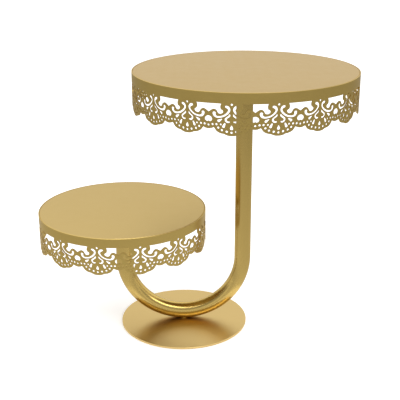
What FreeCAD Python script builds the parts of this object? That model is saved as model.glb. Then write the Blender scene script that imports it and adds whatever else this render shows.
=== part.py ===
"""Two-tier cake stand: a bent tube stands on a round base and carries two round plates with lace skirts.

Millimetres, +Z up. The origin is on the floor, under the centre of the base. +X points to the high
plate, -X to the low one. Each plate is a pressed steel disc with a short turned-down flange, a strip
of pierced lace rolled into a ring and welded round that flange, and a welded hub whose threaded stud
screws into the end of the tube. The base plate is held by a countersunk screw from below.
"""

import FreeCAD
import Part
import math
import os

from FreeCAD import Vector

# ---------------------------------------------------------------- driving dimensions
TUBE_OD = 22.8
TUBE_WALL = 1.2
BEND_RADIUS = 84.0  # to the tube's centreline, and so half the distance between the two posts

BASE_DIAMETER = 180.0
BASE_THICKNESS = 3.0
BASE_EDGE_ROUND = 0.8
PAD_THICKNESS = 1.0  # foam pad under the base
PAD_DIAMETER = 166.0
PAD_HOLE = 26.0

HIGH_TOP_ABOVE_BASE = 363.0
LOW_TOP_ABOVE_BASE = 170.0
HIGH_DIAMETER = 300.0  # over the lace, which is flush with the plate
LOW_DIAMETER = 231.0
HIGH_REPEATS = 17  # lace repeats round the high plate
LOW_REPEATS = 13
HIGH_FIRST_SCALLOP = 10.8  # degrees from the front (-Y) towards +X to the middle of a deep scallop
LOW_FIRST_SCALLOP = -13.2
HIGH_BAND = 12.7  # from the plate's top to where the flat pattern of the lace begins
LOW_BAND = 11.6

DISC_SHEET = 0.8  # thickness of the pressed disc
DISC_EDGE_ROUND = 1.2  # outer radius of its rolled edge
DISC_FLANGE = 3.6  # from the plate's top to the flange's lower edge
LACE_SHEET = 1.0
LACE_BEVEL = 0.25  # on the upper outer edge of the lace ring

HUB_DIAMETER = 56.0
HUB_THICKNESS = 2.0
WASHER_DIAMETER = 27.0
WASHER_THICKNESS = 1.0
WASHER_GAP = 0.3  # a plate stands this far short of fully tightened
THREAD = 8.0  # stud diameter
THREAD_CORE = 6.65
THREAD_PITCH = 1.25
STUD_LENGTH = 15.0  # below the hub
PLUG_LENGTH = 20.0

BASE_THREAD = 6.0
SCREW_LENGTH = 12.0  # with its head
SCREW_HEAD = 11.4
SOCKET_ACROSS_FLATS = 4.0
BUSH_DIAMETER = 10.0
BUSH_LENGTH = 14.0

CLEARANCE = 0.05  # radial, of a running thread or pin

# ---------------------------------------------------------------- places that follow from them
BASE_TOP = PAD_THICKNESS + BASE_THICKNESS
HIGH_TOP = BASE_TOP + HIGH_TOP_ABOVE_BASE
LOW_TOP = BASE_TOP + LOW_TOP_ABOVE_BASE
TUBE_R = TUBE_OD / 2
BEND_CENTRE_Z = BASE_TOP + TUBE_R + BEND_RADIUS
HIGH_X = BEND_RADIUS
LOW_X = -BEND_RADIUS
UNDER_PLATE = DISC_SHEET + HUB_THICKNESS + WASHER_GAP + WASHER_THICKNESS  # plate's top to the tube's end

UP = Vector(0, 0, 1)
INTO_SHEET = Vector(0, 1, 0)  # the flat pattern lies in the XZ plane


def at(x, y, z):
    return Vector(x, y, z)


def cylinder(radius, z_low, z_high, x=0.0, y=0.0):
    return Part.makeCylinder(radius, z_high - z_low, at(x, y, z_low))


def ring(outer, inner, z_low, z_high, x=0.0):
    return cylinder(outer, z_low, z_high, x).cut(cylinder(inner, z_low - 1, z_high + 1, x))


def revolved(profile, x=0.0):
    """A closed outline, drawn in the XZ plane from the axis outwards, turned about the vertical line at x."""
    face = Part.Face(Part.Wire(profile))
    solid = face.revolve(at(0, 0, 0), UP, 360)
    solid.translate(at(x, 0, 0))
    return solid


def line(a, b):
    return Part.LineSegment(a, b).toShape()


def arc(a, middle, b):
    return Part.Arc(a, middle, b).toShape()


def polygon(corners):
    return [line(a, b) for a, b in zip(corners, corners[1:] + corners[:1])]


def frustum_outline(a, radius_a, b, radius_b):
    """The outline round two circles of different size and the two straight lines that touch both."""
    across = b - a
    heading = math.atan2(across.z, across.x)
    lean = math.acos((radius_a - radius_b) / across.Length)

    def on(centre, radius, angle):
        return centre + Vector(math.cos(angle), 0, math.sin(angle)) * radius

    left, right = heading + lean, heading - lean
    return [
        line(on(a, radius_a, left), on(b, radius_b, left)),
        arc(on(b, radius_b, left), on(b, radius_b, heading), on(b, radius_b, right)),
        line(on(b, radius_b, right), on(a, radius_a, right)),
        arc(on(a, radius_a, right), on(a, radius_a, heading + math.pi), on(a, radius_a, left)),
    ]


def smooth(points):
    curve = Part.BSplineCurve()
    curve.interpolate(points)
    return curve.toShape()


def stroke_outline(points, half_widths):
    """A brush stroke: its centreline runs through the points and its width changes from one to the next."""
    left, right = [], []
    last = len(points) - 1
    for i, (p, half) in enumerate(zip(points, half_widths)):
        ahead = points[min(i + 1, last)] - points[max(i - 1, 0)]
        ahead.normalize()
        side = Vector(-ahead.z, 0, ahead.x)
        left.append(p + side * half)
        right.append(p - side * half)
        if i == 0:
            start_cap = p - ahead * half
        if i == last:
            end_cap = p + ahead * half
    return [
        smooth(left),
        arc(left[-1], end_cap, right[-1]),
        smooth(right[::-1]),
        arc(right[0], start_cap, left[0]),
    ]


# ---------------------------------------------------------------- the lace, laid out flat
# u runs along the strip from the middle of a deep scallop, v runs down.
# One repeat is mirrored about u = 0 and about u = HALF_REPEAT.
HALF_REPEAT = 27.6

WINDOW_EDGE = [  # from its top corner, round the small hook, over the hump, down to its low middle
    (12.3, 0.5), (12.9, 2.0), (13.3, 4.5), (12.2, 7.3), (10.4, 8.5), (9.9, 9.9), (11.2, 11.8),
    (13.5, 12.6), (15.6, 12.1), (16.6, 10.8), (18.2, 8.3), (21.2, 7.1), (24.5, 8.4), (HALF_REPEAT, 10.7),
]
SCROLL = [  # centreline and half width of the long slot, from its head to its tail
    (6.5, 4.1, 1.4), (4.6, 4.8, 1.6), (3.3, 6.3, 1.4), (3.0, 8.2, 1.25), (4.2, 10.7, 1.1), (7.0, 13.5, 1.05),
    (11.0, 15.7, 1.0), (15.0, 16.5, 1.05), (18.3, 16.2, 1.2), (20.3, 14.6, 1.55), (20.8, 12.2, 2.0),
]
HEART = [  # the same of the slot that makes half a heart
    (2.3, 13.6, 0.75), (5.3, 16.9, 0.9), (7.1, 19.1, 1.1), (6.6, 20.9, 1.1), (4.8, 22.2, 1.0),
    (3.0, 22.0, 0.85),
]
TEARDROPS = [  # narrow end, its radius, wide end, its radius
    ((11.8, 18.8), 0.5, (15.4, 21.1), 1.6),
    ((8.1, 24.5), 1.0, (9.6, 27.8), 1.6),
    ((0.0, 26.6), 0.5, (0.0, 29.8), 1.9),
]
DOTS = [(0.0, 1.4, 1.3), (0.0, 34.8, 1.3), (5.7, 33.7, 1.4), (11.5, 32.1, 1.3), (15.8, 29.3, 1.3),
        (12.9, 25.3, 1.1), (18.1, 25.3, 1.3), (22.8, 25.5, 1.3), (HALF_REPEAT, 26.4, 1.2)]
PEARL_WIDE = 4.5  # half the width of the big hole between two deep scallops
PEARL_TOP, PEARL_MIDDLE, PEARL_LOW, PEARL_NOTCH = 15.3, 18.9, 22.2, 21.4
NOTCH = (21.2, 29.05)  # where a deep scallop meets a shallow one
DEEP_SCALLOP_SIDE = [(21.2, 29.05), (19.8, 30.8), (18.2, 33.0), (15.5, 34.9), (12.0, 36.1), (9.0, 36.5)]
DEEP_SCALLOP_FOOT = [(9.0, 36.5), (7.0, 37.5), (3.5, 38.6), (0.0, 38.8)]
SHALLOW_SCALLOP = 30.9
LACE_DEPTH = 38.8


class LaceCutter:
    """Turns the flat pattern into cutting blocks round a ring of a given radius.

    Each block is extruded straight through the sheet, squarely to it at the block's own middle.
    """

    def __init__(self, radius, pattern_top_z, x):
        self.radius, self.top, self.x = radius, pattern_top_z, x

    def place(self, u, v, middle):
        """The point of the flat pattern on the plane that touches the ring at u = middle."""
        return at(self.radius * math.sin((u - middle) / self.radius), 0, self.top - v)

    def block(self, outline, middle, turn):
        face = Part.Face(Part.Wire(outline))
        face.translate(Vector(0, -(self.radius - 10), 0))
        block = face.extrude(Vector(0, -14, 0))
        block.rotate(at(0, 0, 0), UP, turn + math.degrees(middle / self.radius))
        block.translate(at(self.x, 0, 0))
        return block

    def dot(self, u, v, r, turn):
        circle = Part.makeCircle(r, self.place(u, v, u), INTO_SHEET)
        return self.block([circle], u, turn)

    def stroke(self, rows, side, turn):
        middle = side * sum(r[0] for r in rows) / len(rows)
        points = [self.place(side * u, v, middle) for u, v, half in rows]
        return self.block(stroke_outline(points, [r[2] for r in rows]), middle, turn)

    def teardrop(self, drop, side, turn):
        (u0, v0), r0, (u1, v1), r1 = drop
        middle = side * (u0 + u1) / 2
        a, b = self.place(side * u0, v0, middle), self.place(side * u1, v1, middle)
        return self.block(frustum_outline(a, r0, b, r1), middle, turn)

    def mirrored(self, points, middle):
        """The points left and right of u = middle, as two rows."""
        right = [self.place(u, v, middle) for u, v in points]
        return right, [Vector(-p.x, p.y, p.z) for p in right]

    def window(self, turn):
        here, there = self.mirrored(WINDOW_EDGE, HALF_REPEAT)
        return self.block([smooth(here), smooth(there[::-1]), line(there[0], here[0])], HALF_REPEAT, turn)

    def pearl(self, turn):
        m = HALF_REPEAT
        here, there = self.mirrored([(m - PEARL_WIDE, PEARL_MIDDLE), (m - 0.85 * PEARL_WIDE, 21.1),
                                     (m - 0.48 * PEARL_WIDE, PEARL_LOW), (m, PEARL_NOTCH)], m)
        top = self.place(m, PEARL_TOP, m)
        return self.block([arc(here[0], top, there[0]), smooth(there), smooth(here[::-1])], m, turn)

    def scallop(self, outline, points, middle, turn):
        """Everything below a scallop; outline is its edge, from the left notch to the right notch."""
        left, right = points
        out = Vector(0.25, 0, 0)
        drop = Vector(0, 0, self.top - 45.0 - left.z)
        edges = [line(left - out, left)] + outline + [line(right, right + out)]
        edges += [line(right + out, right + out + drop), line(right + out + drop, left - out + drop),
                  line(left - out + drop, left - out)]
        return self.block(edges, middle, turn)

    def deep_scallop(self, turn):
        right, left = self.mirrored(DEEP_SCALLOP_SIDE, 0.0)
        foot_right, foot_left = self.mirrored(DEEP_SCALLOP_FOOT, 0.0)
        outline = [smooth(left), smooth(foot_left[:-1] + foot_right[::-1]), smooth(right[::-1])]
        return self.scallop(outline, (left[0], right[0]), 0.0, turn)

    def shallow_scallop(self, turn):
        m = HALF_REPEAT
        left, right = self.place(NOTCH[0], NOTCH[1], m), self.place(2 * m - NOTCH[0], NOTCH[1], m)
        edge = arc(left, self.place(m, SHALLOW_SCALLOP, m), right)
        return self.scallop([edge], (left, right), m, turn)

    def repeat(self, turn):
        """Every block of one repeat, whose deep scallop is centred turn degrees round the ring."""
        blocks = [self.window(turn), self.pearl(turn), self.deep_scallop(turn), self.shallow_scallop(turn)]
        for u, v, r in DOTS:
            sides = (1,) if u in (0.0, HALF_REPEAT) else (1, -1)
            blocks += [self.dot(side * u, v, r, turn) for side in sides]
        for drop in TEARDROPS:
            sides = (1,) if drop[0][0] == 0.0 else (1, -1)
            blocks += [self.teardrop(drop, side, turn) for side in sides]
        for rows in (SCROLL, HEART):
            blocks += [self.stroke(rows, side, turn) for side in (1, -1)]
        return blocks


def lace(plate_diameter, plate_top, band, repeats, first, x):
    """A strip of pierced lace, rolled into a ring round the plate's flange and flush with its top."""
    outer = plate_diameter / 2
    inner, bottom, b = outer - LACE_SHEET, plate_top - band - LACE_DEPTH - 1, LACE_BEVEL
    corners = [at(inner, 0, bottom), at(outer, 0, bottom), at(outer, 0, plate_top - b),
               at(outer - b, 0, plate_top), at(inner, 0, plate_top)]
    strip = revolved(polygon(corners), x)
    cutter = LaceCutter(outer, plate_top - band, x)
    blocks = []
    for i in range(repeats):
        blocks += cutter.repeat(first + i * 360.0 / repeats)
    return strip.cut(blocks)


# ---------------------------------------------------------------- the other pieces of a plate
def plate_disc(diameter, top, x):
    """A pressed disc: flat, rounded over at the rim, with a short flange turned down inside the lace."""
    r, t, e, z = diameter / 2 - LACE_SHEET, DISC_SHEET, DISC_EDGE_ROUND, top
    c, s = e * math.cos(math.pi / 4), (e - t) * math.cos(math.pi / 4)
    profile = [
        line(at(0, 0, z), at(r - e, 0, z)),
        arc(at(r - e, 0, z), at(r - e + c, 0, z - e + c), at(r, 0, z - e)),
        line(at(r, 0, z - e), at(r, 0, z - DISC_FLANGE)),
        line(at(r, 0, z - DISC_FLANGE), at(r - t, 0, z - DISC_FLANGE)),
        line(at(r - t, 0, z - DISC_FLANGE), at(r - t, 0, z - e)),
        arc(at(r - t, 0, z - e), at(r - e + s, 0, z - e + s), at(r - e, 0, z - t)),
        line(at(r - e, 0, z - t), at(0, 0, z - t)),
        line(at(0, 0, z - t), at(0, 0, z)),
    ]
    return revolved(profile, x)


def hub(top, x):
    """The round doubler welded under the middle of a plate, with a hole for the stud."""
    z_high, z_low, r = top - DISC_SHEET, top - DISC_SHEET - HUB_THICKNESS, HUB_DIAMETER / 2
    bevel = 0.6
    profile = [
        line(at(THREAD / 2, 0, z_high), at(r, 0, z_high)),
        line(at(r, 0, z_high), at(r, 0, z_low + bevel)),
        line(at(r, 0, z_low + bevel), at(r - bevel, 0, z_low)),
        line(at(r - bevel, 0, z_low), at(THREAD / 2, 0, z_low)),
        line(at(THREAD / 2, 0, z_low), at(THREAD / 2, 0, z_high)),
    ]
    return revolved(profile, x)


def stud(top, x):
    """The threaded rod welded into a hub. Its thread is drawn as rings, one to a pitch."""
    z = top - DISC_SHEET
    low = z - HUB_THICKNESS - STUD_LENGTH
    crest, core = THREAD / 2, THREAD_CORE / 2
    corners = [at(0, 0, z), at(crest, 0, z), at(crest, 0, z - HUB_THICKNESS - 1.5)]
    groove = z - HUB_THICKNESS - 1.5
    while groove - THREAD_PITCH > low + 1.5:
        corners += [at(core, 0, groove - THREAD_PITCH / 2), at(crest, 0, groove - THREAD_PITCH + 0.15),
                    at(crest, 0, groove - THREAD_PITCH)]
        groove -= THREAD_PITCH
    corners += [at(crest, 0, low + 1.0), at(crest - 1.0, 0, low), at(0, 0, low)]
    corners = [p for i, p in enumerate(corners) if i == 0 or (p - corners[i - 1]).Length > 1e-6]
    return revolved(polygon(corners), x)


def washer(top, x):
    """The soft washer that lies on the tube's end, under the hub."""
    tube_end = top - UNDER_PLATE
    return ring(WASHER_DIAMETER / 2, THREAD / 2 + 0.4, tube_end, tube_end + WASHER_THICKNESS, x)


def plug(top, x):
    """The threaded plug welded into the tube's end, its thread drawn as a plain bore."""
    tube_end = top - UNDER_PLATE
    bore = THREAD / 2 + CLEARANCE
    return ring(TUBE_R - TUBE_WALL, bore, tube_end - PLUG_LENGTH, tube_end, x)


# ---------------------------------------------------------------- the tube and its foot
def bent_rod(radius):
    """A round rod along the tube's line: down the low post, round the bend, up the high post."""
    half_turn = Part.Face(Part.Wire(Part.makeCircle(radius, at(LOW_X, 0, BEND_CENTRE_Z), UP)))
    bend = half_turn.revolve(at(0, 0, BEND_CENTRE_Z), Vector(0, -1, 0), 180)
    low = cylinder(radius, BEND_CENTRE_Z, LOW_TOP - UNDER_PLATE, LOW_X)
    high = cylinder(radius, BEND_CENTRE_Z, HIGH_TOP - UNDER_PLATE, HIGH_X)
    return bend.fuse([low, high]).removeSplitter()


def post_tube():
    tube = bent_rod(TUBE_R).cut(bent_rod(TUBE_R - TUBE_WALL))
    hole = cylinder(BUSH_DIAMETER / 2, BASE_TOP - 1, BASE_TOP + BUSH_LENGTH)
    return tube.cut(hole)


def base_bush():
    """The threaded bush welded through the lowest point of the bend; it stands on the base."""
    return ring(BUSH_DIAMETER / 2, BASE_THREAD / 2, BASE_TOP, BASE_TOP + BUSH_LENGTH)


def base_plate():
    r, low, high, e = BASE_DIAMETER / 2, PAD_THICKNESS, BASE_TOP, BASE_EDGE_ROUND
    c = e * math.cos(math.pi / 4)
    head, hole = SCREW_HEAD / 2, BASE_THREAD / 2 + 0.2
    profile = [
        line(at(head, 0, low), at(r - 0.3, 0, low)),
        line(at(r - 0.3, 0, low), at(r, 0, low + 0.3)),
        line(at(r, 0, low + 0.3), at(r, 0, high - e)),
        arc(at(r, 0, high - e), at(r - e + c, 0, high - e + c), at(r - e, 0, high)),
        line(at(r - e, 0, high), at(hole, 0, high)),
        line(at(hole, 0, high), at(hole, 0, low + head - hole)),
        line(at(hole, 0, low + head - hole), at(head, 0, low)),
    ]
    return revolved(profile)


def base_screw():
    """A countersunk screw with a hexagon socket, its head flush with the base's underside."""
    low, head, shank = PAD_THICKNESS, SCREW_HEAD / 2, BASE_THREAD / 2
    tip = low + SCREW_LENGTH
    corners = [at(0, 0, low), at(head, 0, low), at(shank, 0, low + head - shank), at(shank, 0, tip - 0.8),
               at(shank - 0.8, 0, tip), at(0, 0, tip)]
    screw = revolved(polygon(corners))
    corner = SOCKET_ACROSS_FLATS / math.sqrt(3)
    ends = [at(corner * math.cos(math.radians(60 * i)), corner * math.sin(math.radians(60 * i)), low - 1)
            for i in range(6)]
    socket = Part.Face(Part.Wire(polygon(ends)))
    return screw.cut(socket.extrude(Vector(0, 0, 1 + 2.2)))


def base_pad():
    return ring(PAD_DIAMETER / 2, PAD_HOLE / 2, 0.0, PAD_THICKNESS)


# ---------------------------------------------------------------- write one file for each piece
def save(name, shape):
    solids = shape.Solids
    assert len(solids) == 1 and solids[0].isValid(), name
    solids[0].exportStep("parts/%s.step" % name)


def main():
    os.makedirs("parts", exist_ok=True)
    save("post_tube", post_tube())
    save("base_bush", base_bush())
    save("base_plate", base_plate())
    save("base_screw", base_screw())
    save("base_pad", base_pad())
    plates = (
        ("high", HIGH_DIAMETER, HIGH_TOP, HIGH_X, HIGH_BAND, HIGH_REPEATS, HIGH_FIRST_SCALLOP),
        ("low", LOW_DIAMETER, LOW_TOP, LOW_X, LOW_BAND, LOW_REPEATS, LOW_FIRST_SCALLOP),
    )
    for name, diameter, top, x, band, repeats, first in plates:
        save(name + "_plate", plate_disc(diameter, top, x))
        save(name + "_hub", hub(top, x))
        save(name + "_stud", stud(top, x))
        save(name + "_washer", washer(top, x))
        save(name + "_plug", plug(top, x))
        save(name + "_lace", lace(diameter, top, band, repeats, first, x))


main()
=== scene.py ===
import math

import bpy
from mathutils import Matrix, Vector


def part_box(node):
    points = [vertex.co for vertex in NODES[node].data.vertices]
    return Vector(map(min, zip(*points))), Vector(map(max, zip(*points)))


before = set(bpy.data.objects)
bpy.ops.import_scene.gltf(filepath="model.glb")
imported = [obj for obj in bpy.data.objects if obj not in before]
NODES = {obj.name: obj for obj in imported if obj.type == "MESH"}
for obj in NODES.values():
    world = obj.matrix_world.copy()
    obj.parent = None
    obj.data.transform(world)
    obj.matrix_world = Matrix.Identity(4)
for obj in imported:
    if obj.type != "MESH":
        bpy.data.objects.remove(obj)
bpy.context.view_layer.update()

MM = 0.001


# ---------------------------------------------------------------- node helpers
class Tree:
    """A short way to build a material's or world's nodes."""

    def __init__(self, owner):
        owner.use_nodes = True
        self.tree = owner.node_tree
        self.tree.nodes.clear()

    def add(self, kind, **settings):
        """A node; settings are its properties or the values of its inputs."""
        node = self.tree.nodes.new("ShaderNode" + kind)
        for key, value in settings.items():
            if hasattr(node, key):
                setattr(node, key, value)
            else:
                node.inputs[key.replace("_", " ")].default_value = value
        return node

    def link(self, source, target):
        self.tree.links.new(source, target)

    def surface(self, shader):
        """Ends a material with this shader."""
        self.link(shader.outputs[0], self.add("OutputMaterial").inputs["Surface"])

    def math(self, operation, a, b):
        node = self.add("Math", operation=operation)
        for socket, value in zip(node.inputs, (a, b)):
            if isinstance(value, (int, float)):
                socket.default_value = value
            else:
                self.link(value, socket)
        return node.outputs[0]

    def span(self, value, low, high):
        """value, from 0 to 1, stretched to run from low to high."""
        node = self.add("MapRange")
        self.link(value, node.inputs["Value"])
        node.inputs["To Min"].default_value = low
        node.inputs["To Max"].default_value = high
        return node.outputs["Result"]

    def mix(self, factor, a, b):
        """The colour a where factor is 0, b where it is 1."""
        node = self.add("Mix", data_type="RGBA")
        self.link(factor, node.inputs["Factor"])
        node.inputs[6].default_value = (*a, 1.0)
        node.inputs[7].default_value = (*b, 1.0)
        return node.outputs[2]

    def noise(self, where, size, detail=2.0, rough=0.5):
        """Noise whose grains are about size metres across."""
        node = self.add("TexNoise", Scale=1.0 / size, Detail=detail, Roughness=rough)
        self.link(where, node.inputs["Vector"])
        return node.outputs[0]

    def bump(self, height, depth, under=None):
        """A normal from height, 0 to 1, that stands depth metres proud."""
        node = self.add("Bump", Strength=1.0, Distance=depth)
        self.link(height, node.inputs["Height"])
        if under is not None:
            self.link(under, node.inputs["Normal"])
        return node.outputs[0]


# ---------------------------------------------------------------- materials
EDGE_TINT = (1.0, 0.93, 0.78)  # keeps the gold from going white where it is seen at a flat angle
CLOUD, CLOUD_SHARE = 45 * MM, 0.55  # slow changes of tone; the flecks make up the rest of the tone
FLECK, FLECK_HEIGHT = 0.35 * MM, 0.0006 * MM
ORANGE_PEEL = 1.6 * MM
TONE_LOW, TONE_HIGH = 0.15, 0.85
PATCH, PATCH_GLOSS = 12 * MM, 0.035  # patches a little more or less rough than the rest
WIPE, WIPE_GLOSS = 9 * MM, 0.02  # wipe marks: the same, but long and narrow
WIPE_STRETCH, WIPE_TURN = (1.0, 0.08, 1.0), (0.0, 0.0, 0.6)
GRAIN_GLOSS = 0.06


def lacquered_metal(name, colour, deep, roughness, peel=0.012 * MM):
    """Metallic lacquer on steel: fine flecks, a soft orange peel, faint wipe marks and an uneven gloss."""
    material = bpy.data.materials.new(name)
    t = Tree(material)
    where = t.add("TexCoord").outputs["Object"]
    flecks = t.noise(where, FLECK, 1.0)
    cloud = t.math("MULTIPLY", t.noise(where, CLOUD, 3.0), CLOUD_SHARE)
    tone = t.math("ADD", cloud, t.math("MULTIPLY", flecks, 1.0 - CLOUD_SHARE))
    base = t.mix(t.span(tone, TONE_LOW, TONE_HIGH), deep, colour)
    gloss = t.math("ADD", t.span(t.noise(where, PATCH, 3.0), -PATCH_GLOSS, PATCH_GLOSS), roughness)
    wiped = t.add("Mapping", Scale=WIPE_STRETCH, Rotation=WIPE_TURN)
    t.link(where, wiped.inputs["Vector"])
    gloss = t.math("ADD", t.span(t.noise(wiped.outputs[0], WIPE), -WIPE_GLOSS, WIPE_GLOSS), gloss)
    normal = t.bump(flecks, FLECK_HEIGHT, t.bump(t.noise(where, ORANGE_PEEL), peel))
    shader = t.add("BsdfPrincipled", Metallic=1.0, Specular_Tint=(*EDGE_TINT, 1.0))
    t.link(base, shader.inputs["Base Color"])
    t.link(gloss, shader.inputs["Roughness"])
    t.link(normal, shader.inputs["Normal"])
    t.surface(shader)
    return material


def plain_dielectric(name, colour, deep, roughness, grain, depth):
    """A dull rubber or foam with a fine grain."""
    material = bpy.data.materials.new(name)
    t = Tree(material)
    fine = t.noise(t.add("TexCoord").outputs["Object"], grain, 3.0, 0.6)
    shader = t.add("BsdfPrincipled", Metallic=0.0)
    t.link(t.mix(fine, deep, colour), shader.inputs["Base Color"])
    t.link(t.span(fine, roughness - GRAIN_GLOSS, roughness + GRAIN_GLOSS), shader.inputs["Roughness"])
    t.link(t.bump(fine, depth), shader.inputs["Normal"])
    t.surface(shader)
    return material


def dress(node, material):
    """Gives a CAD node its material; the node's shape stays."""
    mesh = NODES[node].data
    mesh.materials.clear()
    mesh.materials.append(material)


# One gold lacquer on every part, in copies whose tones differ from part to part; they are painted light and
# shade, not a real difference in the finish.
high_gold = lacquered_metal("high_plate_gold", colour=(0.48, 0.341, 0.143), deep=(0.445, 0.313, 0.128),
                            roughness=0.34, peel=0.004 * MM)
plate_gold = lacquered_metal("plate_gold", colour=(0.525, 0.385, 0.148), deep=(0.49, 0.355, 0.133),
                             roughness=0.34, peel=0.004 * MM)
lace_gold = lacquered_metal("lace_gold", colour=(0.56, 0.40, 0.125), deep=(0.50, 0.355, 0.10),
                            roughness=0.34, peel=0.004 * MM)
base_gold = lacquered_metal("base_gold", colour=(0.62, 0.452, 0.184), deep=(0.585, 0.42, 0.168),
                            roughness=0.31, peel=0.003 * MM)
tube_gold = lacquered_metal("tube_gold", colour=(0.575, 0.41, 0.13), deep=(0.54, 0.38, 0.112),
                            roughness=0.22, peel=0.003 * MM)
zinc = lacquered_metal("zinc", colour=(0.60, 0.61, 0.62), deep=(0.46, 0.47, 0.48), roughness=0.34)
rubber = plain_dielectric("washer_rubber", colour=(0.035, 0.034, 0.033), deep=(0.02, 0.02, 0.02),
                          roughness=0.7, grain=0.5 * MM, depth=0.01 * MM)
foam = plain_dielectric("foam_pad", colour=(0.045, 0.045, 0.045), deep=(0.015, 0.015, 0.015),
                        roughness=0.85, grain=0.8 * MM, depth=0.12 * MM)

dress("high_plate", high_gold)
dress("low_plate", plate_gold)
for tier in ("high", "low"):
    dress(tier + "_lace", lace_gold)
    dress(tier + "_hub", plate_gold)
    dress(tier + "_stud", zinc)
    dress(tier + "_plug", tube_gold)
    dress(tier + "_washer", rubber)
dress("post_tube", tube_gold)
dress("base_bush", tube_gold)
dress("base_plate", base_gold)
dress("base_screw", zinc)
dress("base_pad", foam)


# ---------------------------------------------------------------- stage
FLOOR_HALF = 9.0
RING_SIDES = 96


def add_sheet(name, corners, faces, material):
    """A sheet of the stage, which is no part of the object."""
    mesh = bpy.data.meshes.new(name)
    mesh.from_pydata(corners, [], faces)
    mesh.materials.append(material)
    sheet = bpy.data.objects.new(name, mesh)
    bpy.context.scene.collection.objects.link(sheet)
    return sheet


def lit_paper(name, grey, shine):
    """White paper on a light table: it shines a little through its whole face."""
    material = bpy.data.materials.new(name)
    t = Tree(material)
    both = t.add("AddShader")
    t.link(t.add("BsdfDiffuse", Color=(grey, grey, grey, 1.0)).outputs[0], both.inputs[0])
    t.link(t.add("Emission", Strength=shine).outputs[0], both.inputs[1])
    t.surface(both)
    material.cycles.emission_sampling = "NONE"
    return material


def glow(name, *steps):
    """A card's glow. Each step is (radius, radius, glow, glow): from the first radius to the second its
    glow runs from the first value to the second, and the steps add up."""
    material = bpy.data.materials.new(name)
    t = Tree(material)
    length = t.add("VectorMath", operation="LENGTH")
    t.link(t.add("TexCoord").outputs["Object"], length.inputs[0])
    total = 0.0
    for step in steps:
        fade = t.add("MapRange")
        t.link(length.outputs["Value"], fade.inputs["Value"])
        for key, value in zip(("From Min", "From Max", "To Min", "To Max"), step):
            fade.inputs[key].default_value = value
        total = t.math("ADD", fade.outputs[0], total)
    shader = t.add("Emission")
    t.link(total, shader.inputs["Strength"])
    t.surface(shader)
    material.cycles.emission_sampling = "NONE"  # it is so large that reflections find it by themselves
    return material


def ring_card(name, inner, outer, z, material):
    """A flat ring that lies round the base."""
    turns = [2 * math.pi * i / RING_SIDES for i in range(RING_SIDES)]
    corners = [(r * math.cos(a), r * math.sin(a), z) for r in (inner, outer) for a in turns]
    faces = []
    for i in range(RING_SIDES):
        after = (i + 1) % RING_SIDES
        faces.append((i, after, RING_SIDES + after, RING_SIDES + i))
    return add_sheet(name, corners, faces, material)


def standing_card(name, y, low, high, strength, half=7.0):
    """An upright card across the whole scene, at y, from one height to another."""
    corners = [(-half, y, low), (half, y, low), (half, y, high), (-half, y, high)]
    return add_sheet(name, corners, [range(4)], glow(name + "_glow", (0.0, 1.0, strength, strength)))


add_sheet("floor", [(x * FLOOR_HALF, y * FLOOR_HALF, 0) for x, y in ((-1, -1), (1, -1), (1, 1), (-1, 1))],
          [range(4)], lit_paper("floor_paper", grey=0.92, shine=0.34))

# Three cards that only reflections see: what the metal mirrors instead of white floor and white walls.
# The floor card is darker the further out, the front card darkens the tube and the bands, and the back
# card brightens the flat tops, most of all towards the front.
floor_glow = glow("card_glow", (0.2, 1.6, 0.80, 0.42), (0.10, 0.20, 0.20, 0.0))
cards = (
    ring_card("dark_card", inner=0.13, outer=8.0, z=0.8 * MM, material=floor_glow),
    standing_card("front_card", y=-3.0, low=0.95, high=4.2, strength=0.46),
    standing_card("back_card", y=3.0, low=2.0, high=4.6, strength=1.45),
)
for card in cards:
    card.visible_camera = card.visible_diffuse = card.visible_shadow = False
    card.visible_transmission = card.visible_volume_scatter = False

world = bpy.data.worlds.new("studio")
bpy.context.scene.world = world
w = Tree(world)
sky = w.add("Background", Color=(1.0, 1.0, 1.0, 1.0), Strength=1.0)
w.link(sky.outputs[0], w.add("OutputWorld").inputs["Surface"])


def softbox(name, place, target, width, height, power):
    """A rectangular lamp at place that faces target."""
    data = bpy.data.lights.new(name, "AREA")
    data.shape, data.size, data.size_y, data.energy = "RECTANGLE", width, height, power
    lamp = bpy.data.objects.new(name, data)
    bpy.context.scene.collection.objects.link(lamp)
    lamp.location = place
    lamp.rotation_euler = (Vector(target) - Vector(place)).to_track_quat("-Z", "Y").to_euler()


softbox("top_light", place=(-0.3, 0.2, 1.7), target=(0.0, 0.0, 0.2), width=2.0, height=2.0, power=6)
softbox("front_strip", place=(0.40, -0.92, 1.36), target=(0.40, 0.0, 0.02), width=2.6, height=0.46, power=15)

# ---------------------------------------------------------------- camera
BASE_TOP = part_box("base_plate")[1][2]
PLACE = (-0.00316, -1.07718, BASE_TOP + 0.56325)
YAW, PITCH, ROLL = math.radians(1.43), math.radians(19.56), math.radians(-0.14)
FILM, LENS = 36.0, 74.005  # mm
NEAR, FAR = 0.05, 60.0

data = bpy.data.cameras.new("camera")
data.sensor_width, data.lens = FILM, LENS
data.clip_start, data.clip_end = NEAR, FAR
camera = bpy.data.objects.new("camera", data)
bpy.context.scene.collection.objects.link(camera)
forward = Vector((math.sin(YAW) * math.cos(PITCH), math.cos(YAW) * math.cos(PITCH), -math.sin(PITCH)))
side = Vector((math.cos(YAW), -math.sin(YAW), 0))
up = side.cross(forward)
turn = Matrix((side, up, -forward)).transposed().to_4x4() @ Matrix.Rotation(ROLL, 4, "Z")
camera.matrix_world = Matrix.Translation(PLACE) @ turn
bpy.context.scene.camera = camera
bpy.context.scene.view_settings.view_transform = "Standard"
